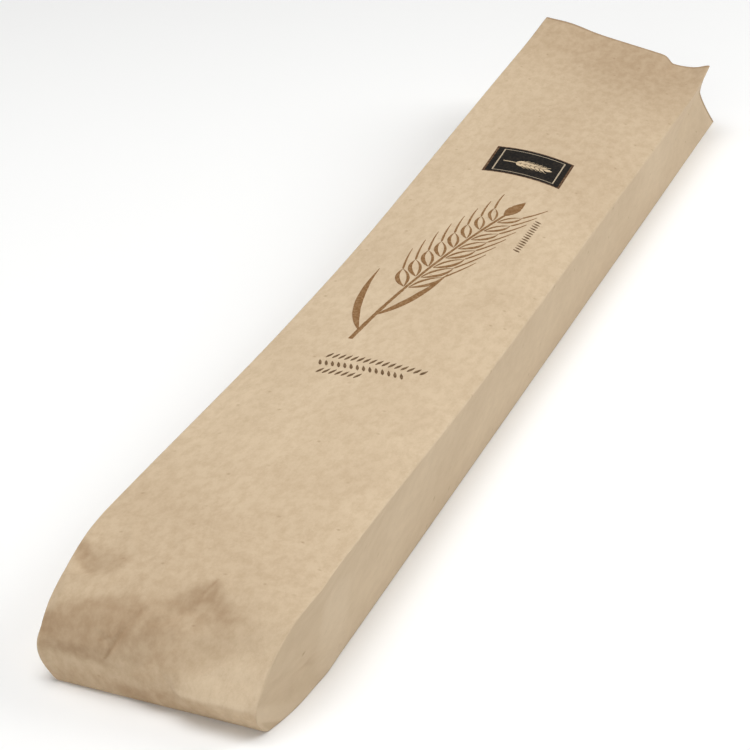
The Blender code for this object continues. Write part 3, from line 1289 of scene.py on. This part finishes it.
    def write_sheet_map(self, cage: bmesh.types.BMesh) -> None:
        """Give the cage its UV map, read from its corners before they are moved.

        Args:
            cage: The cage.
        """
        layer = cage.loops.layers.uv.new(self.uv_map)
        for face in cage.faces:
            panel = self.panel_of(face)
            for loop in face.loops:
                loop[layer].uv = self.sheet_place(loop.vert.co, panel)

    def crease_wear(self, corner: Vector) -> float:
        """How near a corner of the cage is to a crease.

        Args:
            corner: The corner's place in the cage.

        Returns:
            The nearness, from 0, away from all creases, to 1.
        """
        aside = min(corner.x, self.form.panel_width - corner.x)
        crease = max(aside, self.form.gusset_width - corner.z)
        roll = max(aside, corner.y)
        return max(0.0, 1.0 - min(crease, roll) / self.wear_reach)

    def write_marks(self, cage: bmesh.types.BMesh) -> None:
        """Mark creases, painted shade, painted light and the gussets on the cage, for the paper's material.

        Args:
            cage: The cage.
        """
        wear_and_painted_light, painted_shade, calm = (
            cage.verts.layers.float.new(name) for name in (self.wear_and_painted_light, self.painted_shade, self.calm)
        )
        for corner in cage.verts:
            panels = {self.panel_of(face) for face in corner.link_faces}
            places = [(panel, self.panel_place(corner.co, panel)) for panel in panels]
            known = [(panel, place) for panel, place in places if place]
            pale = max((self.painted_shade_and_light.pale(*spot) for spot in known), default=0.0)
            dark = max((self.painted_shade_and_light.dark(*spot) for spot in known), default=0.0)
            # Painted shade along the mouth's cut edge, as a thin dark line.
            if corner.co.y > self.form.back_length - self.rim_reach:
                dark = max(dark, self.painted_shade_and_light.rim_shade)
            # Worn creases and painted light share one attribute.
            corner[wear_and_painted_light] = max(self.crease_share * self.crease_wear(corner.co), pale)
            corner[painted_shade] = dark
            corner[calm] = 1.0 if panels <= {Face.LEFT, Face.RIGHT} else 0.0

    def panel_place(self, corner: Vector, panel: Face) -> Pair | None:
        """Place of a corner of the cage on a panel.

        Args:
            corner: The corner's place in the cage.
            panel: The panel that it is read on.

        Returns:
            The place in metres, or None for a panel that has no marks.
        """
        half = self.form.panel_width / 2.0
        u = corner.x - half
        if panel is Face.FRONT:
            length = self.form.front_mouth_y(u / half) - self.form.crest_y
            return u, length * corner.y / self.form.back_length
        if panel is Face.ROLL:
            return u, -self.form.roll_length(corner.z / self.form.gusset_width)
        if panel in (Face.LEFT, Face.RIGHT):
            return corner.y, corner.z
        return None

    def relief_of(self, corner: Vector, panel: Face) -> float:
        """Height of the paper's relief at a corner of the cage.

        Args:
            corner: The corner's place in the cage.
            panel: One of the panels that it belongs to.

        Returns:
            How far the paper stands out there.
        """
        up = corner.z / self.form.gusset_width
        place = self.panel_place(corner, panel)
        if panel in (Face.FRONT, Face.ROLL):
            fade = 1.0 if panel is Face.FRONT else smoothstep(up / self.roll_fade)
            return self.relief.on_front(*place, self.form.panel_width / 2.0) * fade
        if panel in (Face.LEFT, Face.RIGHT):
            fade = smoothstep(corner.y / self.gusset_fade)
            return self.relief.on_gusset(*place, self.form.gusset_width) * fade
        return 0.0

    @cached_property
    def shift(self) -> Vector:
        """Move from the bottom fold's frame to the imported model's frame."""
        return Vector((0.0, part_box("bag")[1].y - self.form.back_length, 0.0))

    def is_inner(self, corner: Vector) -> bool:
        """Whether a corner of the cage is on the inner skin.

        Args:
            corner: The corner's place in the cage.

        Returns:
            True behind the mouth's rim.
        """
        edge = self.thickness / 2.0
        within_width = edge < corner.x < self.form.panel_width - edge
        return within_width and edge < corner.z < self.form.gusset_width - edge and corner.y > edge

    def pocket_bulge(self, corner: Vector) -> float:
        """How far the end wall of the open pocket bulges towards the mouth.

        Args:
            corner: A corner's place in the cage, on the inner skin.

        Returns:
            The bulge, which is 0 away from the end wall.
        """
        if corner.y >= self.form.back_length - self.mouth_depth + self.thickness / 2.0:
            return 0.0
        across = 2.0 * corner.x / self.form.panel_width - 1.0
        up = 2.0 * corner.z / self.form.gusset_width - 1.0
        ripple = noise.noise(Vector((corner.x, 0.0, corner.z)) / self.pocket_ripple)
        return self.pocket_depth * (1.0 - across**4) * (1.0 - up**4) * (self.pocket_mean + ripple)

    def build_shape(self) -> bmesh.types.BMesh:
        """Build the bag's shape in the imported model's frame.

        Returns:
            The closed shape, with its UV map and its attributes.
        """
        cage = self.make_cage()
        self.write_sheet_map(cage)
        self.write_marks(cage)
        form = self.form
        rises, inner, bulges = [], [], []
        for corner in cage.verts:
            panels = {self.panel_of(face) for face in corner.link_faces} - {Face.RIM}
            rises.append(max((self.relief_of(corner.co, panel) for panel in panels), key=abs, default=0.0))
            inner.append(self.is_inner(corner.co))
            bulges.append(self.pocket_bulge(corner.co) if inner[-1] else 0.0)
        for corner in cage.verts:
            across = 2.0 * corner.co.x / form.panel_width - 1.0
            along = corner.co.y / form.back_length
            corner.co = form.point(across, along, corner.co.z / form.gusset_width) + self.shift
        cage.normal_update()
        outwards = [corner.normal * (-1.0 if within else 1.0) for corner, within in zip(cage.verts, inner)]
        for corner, rise, outward, bulge in zip(cage.verts, rises, outwards, bulges):
            corner.co += outward * rise + Vector((0.0, bulge, 0.0))
            corner.co.z = max(corner.co.z, 0.0)
        bmesh.ops.recalc_face_normals(cage, faces=cage.faces)
        for face in cage.faces:
            face.smooth = True
        return cage

    def build(self) -> bpy.types.Object:
        """Build the bag and let it stand for its CAD node.

        Returns:
            The finished piece.
        """
        shape = self.build_shape()
        paper = self.finish.material(self.uv_map, self.wear_and_painted_light, self.painted_shade, self.calm)
        bag = add_mesh("bag_paper", shape, [paper])
        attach(bag, "root")
        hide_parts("bag")
        return bag


@dataclass
class FrontPrint:
    """The print on the front panel, as thin films of ink laid over the paper."""

    bag: PaperBag
    paper: bpy.types.Object
    film: float = 0.00007
    root: float = 0.00005

    @cached_property
    def surface(self) -> BVHTree:
        """The paper's surface, to lay the ink on."""
        mesh = self.paper.data
        return BVHTree.FromPolygons([v.co[:] for v in mesh.vertices], [p.vertices[:] for p in mesh.polygons])

    def lay(self, flat: bmesh.types.BMesh, name: str, inks: list[PrintingInk]) -> bpy.types.Object:
        """Lay a flat shape of ink on the front panel.

        Args:
            flat: Closed shape in (u, v), from Z 0 below to Z 1 above.
            name: The piece's name.
            inks: The inks, by the shape's material numbers.

        Returns:
            The finished piece.
        """
        bmesh.ops.recalc_face_normals(flat, faces=flat.faces)
        for corner in flat.verts:
            rough = self.bag.form.on_front(corner.co.x, corner.co.y) + self.bag.shift
            place, normal, _, _ = self.surface.find_nearest(rough)
            corner.co = place + normal * mix((-self.root, self.film), corner.co.z)
        piece = add_mesh(name, flat, [ink.material() for ink in inks])
        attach(piece, "root")
        return piece


@dataclass
class Plaque(FrontPrint):
    """Dark plaque near the mouth, with bowed long edges and a pale line inside its edge."""

    centre: Pair = (0.0006, 0.3592)
    size: Pair = (0.0433, 0.0287)
    turn: float = -4.3
    lean: float = -0.119
    bow: float = 0.0022
    margin: float = 0.0007
    border: float = 0.0018
    line: float = 0.0004
    side_share: float = 1.75
    cuts: int = 15
    dark: PrintingInk = PrintingInk("black_flexo_ink", "0B0806", cover=(0.96, 1.0))
    fringe: PrintingInk = PrintingInk("umber_flexo_ink", "4C301C", cover=(0.70, 1.0))
    pale: PrintingInk = PrintingInk("bare_paper_in_print", "B4A48C", cover=(0.9, 1.0))

    def bowed(self, place: Vector) -> Vector:
        """Bend a point of the plain rectangle to the plaque's form.

        Args:
            place: The point, from the rectangle's middle.

        Returns:
            The point's place in (u, v), flat at Z 0.
        """
        across = place.x * self.side_share
        along = place.y - self.bow * ((2.0 * across / self.size[0]) ** 2 - 0.5)
        turned = Matrix.Rotation(math.radians(self.turn), 2) @ Vector((across + self.lean * place.y, along))
        return (turned + Vector(self.centre)).to_3d()

    def build_field(self) -> bpy.types.Object:
        """Build the plaque's dark field, its fringe and the pale line inside its edge.

        Returns:
            The finished piece.
        """
        flat = bmesh.new()
        plain = Matrix.Diagonal((self.size[0] / 2.0 / self.side_share, self.size[1] / 2.0, 1.0, 1.0))
        bmesh.ops.create_grid(flat, x_segments=1, y_segments=1, size=1.0, matrix=plain)
        inner = list(flat.faces)
        for thickness, number in ((self.margin, 1), (self.border, 0), (self.line, 2)):
            rim = {"thickness": thickness, "use_even_offset": True, "use_boundary": True}
            for face in bmesh.ops.inset_region(flat, faces=inner, **rim)["faces"]:
                face.material_index = number
        bmesh.ops.subdivide_edges(flat, edges=list(flat.edges), cuts=self.cuts, use_grid_fill=True)
        for corner in flat.verts:
            corner.co = self.bowed(corner.co)
        raised = bmesh.ops.extrude_face_region(flat, geom=list(flat.faces))["geom"]
        tops = [g for g in raised if isinstance(g, bmesh.types.BMVert)]
        bmesh.ops.translate(flat, verts=tops, vec=(0.0, 0.0, 1.0))
        return self.lay(flat, "print_plaque", [self.dark, self.fringe, self.pale])


def leaf_outline(share: float) -> float:
    """Half-width of a pointed grain or leaf, 0 at both ends and 1 at its widest."""
    return math.sin(math.pi * share**0.8) ** 0.9


def brush_outline(share: float) -> float:
    """Half-width of a brush stroke, which starts blunt and runs out thin."""
    return min(1.0, (share / 0.06) ** 0.5) * (1.0 - 0.75 * share**1.6)


def even_outline(_share: float) -> float:
    """Half-width of a stroke that is as wide all along."""
    return 1.0


@dataclass(frozen=True)
class Stroke:
    """One stroke of a brush in (u, v), on a curve through a start, a bend and an end."""

    start: Vector
    bend: Vector
    end: Vector
    width: float
    outline: Callable[[float], float] = brush_outline
    pieces: int = 22
    raggedness: float = 0.16
    least_half: float = 0.02
    stagger: float = 0.1

    def add_to(self, flat: bmesh.types.BMesh, seed: float) -> None:
        """Add the stroke to a flat shape as a thin closed slab.

        Args:
            flat: The shape that gets it.
            seed: Number that sets the uneven edge, and a height that keeps strokes from meeting flush.
        """
        grid = bmesh.ops.create_grid(flat, x_segments=self.pieces, y_segments=2, size=1.0)["verts"]
        for corner in grid:
            share = (corner.co.x + 1.0) / 2.0
            side = corner.co.y
            first = self.start.lerp(self.bend, share)
            second = self.bend.lerp(self.end, share)
            tangent = (second - first).normalized()
            ragged = 1.0 + self.raggedness * noise.noise(Vector((share * 9.0, side * 3.0, seed)))
            half = max(self.width * 0.5 * self.outline(share) * ragged, self.width * self.least_half)
            centre = first.lerp(second, share)
            corner.co = Vector((centre.x - tangent.y * side * half, centre.y + tangent.x * side * half, 0.0))
        faces = list(dict.fromkeys(face for corner in grid for face in corner.link_faces))
        raised = bmesh.ops.extrude_face_region(flat, geom=faces)["geom"]
        tops = [g for g in raised if isinstance(g, bmesh.types.BMVert)]
        bmesh.ops.translate(flat, verts=tops, vec=(0.0, 0.0, 1.0 + self.stagger * (seed % 7.0)))


@dataclass(frozen=True)
class WheatEar:
    """Ear of wheat drawn with a brush: a stem, pairs of grains, a top grain, awns and leaves.

    Directions and bends are pairs of shares: the first forward along the stem, the second to the side.
    """

    root: Vector
    tip: Vector
    sway: float
    ear_share: float
    pairs: int
    grain: Pair
    awn: float
    stroke: float
    leaves: tuple[tuple[float, float, float], ...] = ()
    grain_strokes: tuple[Pair, ...] = ((0.95, 0.37), (-0.75, 0.25))
    stem_parts: int = 3
    stem_taper: float = 0.12
    top_stem: float = 0.6
    first_pair: float = 0.3
    pair_taper: float = 0.30
    grain_way: Pair = (0.86, 0.51)
    grain_foot: float = 0.22
    grain_belly: float = 0.55
    awn_way: Pair = (0.95, 0.30)
    awn_bow: float = 0.0010
    awn_stroke: float = 0.5
    leaf_bend: Pair = (0.35, 0.85)
    leaf_stroke: float = 1.7

    def on_stem(self, share: float) -> tuple[Vector, Vector, Vector]:
        """Place on the stem.

        Args:
            share: Share of the stem's length, from its root.

        Returns:
            The point, the direction forward along the stem, and the direction to its left.
        """
        run = self.tip - self.root
        side = Vector((-run.y, run.x)).normalized()
        bend = self.root.lerp(self.tip, 0.5) + side * self.sway
        first = self.root.lerp(bend, share)
        second = bend.lerp(self.tip, share)
        forward = (second - first).normalized()
        return first.lerp(second, share), forward, Vector((-forward.y, forward.x))

    def stem_stroke(self, low: float, high: float, width: float) -> Stroke:
        """Stroke that follows the stem between two shares of its length.

        Args:
            low: Share where the stroke starts.
            high: Share where it ends.
            width: The stroke's width.

        Returns:
            The stroke.
        """
        start, middle, end = (self.on_stem(share)[0] for share in (low, (low + high) / 2.0, high))
        return Stroke(start, 2.0 * middle - (start + end) / 2.0, end, width, even_outline)

    def pair_strokes(self, pair: int) -> list[Stroke]:
        """Strokes of one pair of grains and their awns.

        Args:
            pair: The pair's number, from the lowest.

        Returns:
            The strokes.
        """
        made = []
        length, width = self.grain
        share = self.ear_share + (1.0 - self.ear_share) * (pair + self.first_pair) / self.pairs
        place, forward, aside = self.on_stem(share)
        size = 1.0 - self.pair_taper * pair / self.pairs
        for side in (-1.0, 1.0):
            out = (forward * self.grain_way[0] + aside * side * self.grain_way[1]).normalized()
            beside = Vector((-out.y, out.x)) * side
            start = place + aside * side * width * self.grain_foot
            end = start + out * length * size
            for bulge, thick in self.grain_strokes:
                bend = start.lerp(end, self.grain_belly) + beside * width * size * bulge
                made.append(Stroke(start, bend, end, width * size * thick, leaf_outline))
            way = (forward * self.awn_way[0] + aside * side * self.awn_way[1]).normalized()
            far = end + way * self.awn * size
            bend = end.lerp(far, 0.5) + aside * side * self.awn_bow
            made.append(Stroke(end, bend, far, self.stroke * self.awn_stroke))
        return made

    def strokes(self) -> list[Stroke]:
        """All strokes of the ear.

        Returns:
            The strokes: the stem, the grains with their awns, the top grain and the leaves.
        """
        made = []
        for part in range(self.stem_parts):
            low, high = (self.ear_share * end / self.stem_parts for end in (part, part + 1))
            made.append(self.stem_stroke(low, high, self.stroke * (1.0 - self.stem_taper * part)))
        made.append(self.stem_stroke(self.ear_share, 1.0, self.stroke * self.top_stem))
        for pair in range(self.pairs):
            made += self.pair_strokes(pair)
        length, width = self.grain
        reach = self.on_stem(1.0)[1] * length
        made.append(Stroke(self.tip, self.tip + reach * 0.5, self.tip + reach, width, leaf_outline))
        for share, ahead, spread in self.leaves:
            place, forward, aside = self.on_stem(share)
            end = place + forward * ahead + aside * spread
            bend = place + forward * ahead * self.leaf_bend[0] + aside * spread * self.leaf_bend[1]
            made.append(Stroke(place, bend, end, self.stroke * self.leaf_stroke, leaf_outline))
        return made

    def draw(self, flat: bmesh.types.BMesh) -> None:
        """Add the ear to a flat shape."""
        for number, stroke in enumerate(self.strokes()):
            stroke.add_to(flat, number * 1.7)


@dataclass(frozen=True)
class MarkRow:
    """Row of small grain marks in (u, v), which start on a line and all run the same way."""

    start: Pair
    count: int
    way: Pair
    turn: float = -1.2
    pitch: float = 0.0030
    size: float = 1.0


@dataclass
class PanelOrnaments(FrontPrint):
    """The brushed ear of wheat along the panel, the rows of grain marks, and the plaque's pale ear."""

    ear: WheatEar = WheatEar(
        Vector((-0.0160, 0.1620)), Vector((0.0075, 0.3020)), 0.008, 0.36, 8, (0.0185, 0.0060), 0.0220, 0.0022,
        ((0.06, 0.060, 0.019), (0.17, 0.050, -0.013)),
    )
    small_ear: WheatEar = WheatEar(
        Vector((-0.0135, 0.3595)), Vector((0.0090, 0.3580)), 0.0008, 0.28, 6, (0.0048, 0.0023), 0.0024,
        0.0006, (), ((0.0, 0.8),),
    )
    small_ear_lift: float = 0.9
    rows: tuple[MarkRow, ...] = (
        MarkRow((-0.0195, 0.1425), 16, (0.45, 1.0)),
        MarkRow((-0.0190, 0.1352), 14, (-0.45, 1.0)),
        MarkRow((-0.0180, 0.1280), 7, (0.45, 1.0)),
        MarkRow((0.0268, 0.2700), 14, (-0.94, 0.35), turn=90.0, pitch=0.0025, size=0.78),
    )
    mark: Pair = (0.0052, 0.0014)
    mark_pieces: int = 8
    brown: PrintingInk = PrintingInk("brown_flexo_ink", "825D36", cover=(0.66, 1.0))
    umber: PrintingInk = PrintingInk("dark_brown_flexo_ink", "624A30", cover=(0.75, 1.0))
    pale: PrintingInk = PrintingInk("pale_line_in_print", "CDB797", cover=(0.9, 1.0))

    def build_ear(self) -> bpy.types.Object:
        """Build the large brushed ear of wheat.

        Returns:
            The finished piece.
        """
        flat = bmesh.new()
        self.ear.draw(flat)
        return self.lay(flat, "print_wheat_ear", [self.brown])

    def build_small_ear(self) -> bpy.types.Object:
        """Build the pale ear of wheat on the plaque, a little above the plaque's own ink.

        Returns:
            The finished piece.
        """
        flat = bmesh.new()
        self.small_ear.draw(flat)
        bmesh.ops.translate(flat, verts=list(flat.verts), vec=(0.0, 0.0, self.small_ear_lift))
        return self.lay(flat, "print_plaque_ear", [self.pale])

    def build_marks(self) -> bpy.types.Object:
        """Build the rows of small grain marks below the ear and the short row beside it.

        Returns:
            The finished piece.
        """
        flat = bmesh.new()
        number = 0
        for row in self.rows:
            length, width = (size * row.size for size in self.mark)
            reach = Vector(row.way).normalized() * length
            turn = Matrix.Rotation(math.radians(row.turn), 2)
            for step in range(row.count):
                place = Vector(row.start) + turn @ Vector((step * row.pitch, 0.0))
                end = place + reach
                mark = Stroke(place, place.lerp(end, 0.5), end, width, leaf_outline, self.mark_pieces)
                mark.add_to(flat, number * 1.3)
                number += 1
        return self.lay(flat, "print_grain_marks", [self.umber])


@dataclass(frozen=True)
class StudioLight:
    """A soft box, placed by where it stands. It points at the bag."""

    name: str
    place: tuple[float, float, float]
    power: float
    size: float = 1.0

    def build(self) -> None:
        """Add the light to the scene."""
        lamp = bpy.data.lights.new(self.name, "AREA")
        lamp.shape = "SQUARE"
        lamp.size = self.size
        lamp.energy = self.power
        light = add_object(self.name, lamp)
        light.location = self.place
        light.rotation_euler = (-Vector(self.place)).to_track_quat("-Z", "Y").to_euler()


@dataclass(frozen=True)
class FloorPaint:
    """Matt white emulsion paint, rolled on: to the eye almost white, without gloss, so only shadows show."""

    colour: str = "FAFAF9"
    roughness: float = 0.9
    specular: float = 0.1

    def material(self) -> bpy.types.Material:
        """Build the paint's material.

        Returns:
            The material.
        """
        made, shader = new_material("matt_white_paint", self.roughness, self.specular)
        shader.inputs["Base Color"].default_value = linear_colour(self.colour)
        return made


@dataclass
class Studio:
    """Pale floor, soft light and the camera at the photograph's viewing angle."""

    lens: float = 105.6
    sensor: float = 36.0
    camera_place: tuple[float, float, float] = (0.32512, -0.87640, 0.52032)
    camera_lift: float = 30.0
    camera_round: float = 22.488
    floor_half: float = 3.0
    paint: FloorPaint = FloorPaint()
    world_colour: str = "FFFFFF"
    world_strength: float = 0.18
    lights: tuple[StudioLight, ...] = (
        StudioLight("overhead_soft_box", (-0.20, -0.22, 1.4), 14.6),
        StudioLight("side_soft_box", (1.1, 1.0, 1.0), 14.2),
        StudioLight("front_soft_box", (0.22, -1.5, 0.6), 6.2),
    )

    def build_floor(self) -> None:
        """Build the floor, which isn't part of the object."""
        sheet = bmesh.new()
        bmesh.ops.create_grid(sheet, x_segments=1, y_segments=1, size=self.floor_half)
        floor = add_mesh("studio_floor", sheet, [self.paint.material()])

    def build_camera(self) -> None:
        """Add the camera."""
        lens = bpy.data.cameras.new("camera")
        lens.lens = self.lens
        lens.sensor_width = self.sensor
        camera = add_object("camera", lens)
        camera.location = self.camera_place
        tilt = math.radians(90.0 - self.camera_lift)
        camera.rotation_euler = Euler((tilt, 0.0, math.radians(self.camera_round)))
        bpy.context.scene.camera = camera

    def build(self) -> None:
        """Build the floor, the sky, the lights and the camera."""
        scene = bpy.context.scene
        scene.view_settings.view_transform = "Standard"
        world = bpy.data.worlds.new("studio")
        world.use_nodes = True
        sky = world.node_tree.nodes["Background"]
        sky.inputs["Color"].default_value = linear_colour(self.world_colour)
        sky.inputs["Strength"].default_value = self.world_strength
        scene.world = world
        self.build_floor()
        for light in self.lights:
            light.build()
        self.build_camera()


def report_piece(piece: bpy.types.Object) -> None:
    """Log a finished piece's name and its number of faces."""
    log.info("%s: %d faces", piece.name, len(piece.data.polygons))


def main() -> None:
    """Build the bag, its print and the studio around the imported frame."""
    logging.basicConfig(level=logging.INFO, format="%(name)s: %(message)s")
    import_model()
    bag = PaperBag()
    paper = bag.build()
    report_piece(paper)
    plaque = Plaque(bag, paper)
    report_piece(plaque.build_field())
    ornaments = PanelOrnaments(bag, paper)
    for build in (ornaments.build_small_ear, ornaments.build_ear, ornaments.build_marks):
        report_piece(build())
    Studio().build()


if __name__ == "__main__":
    main()
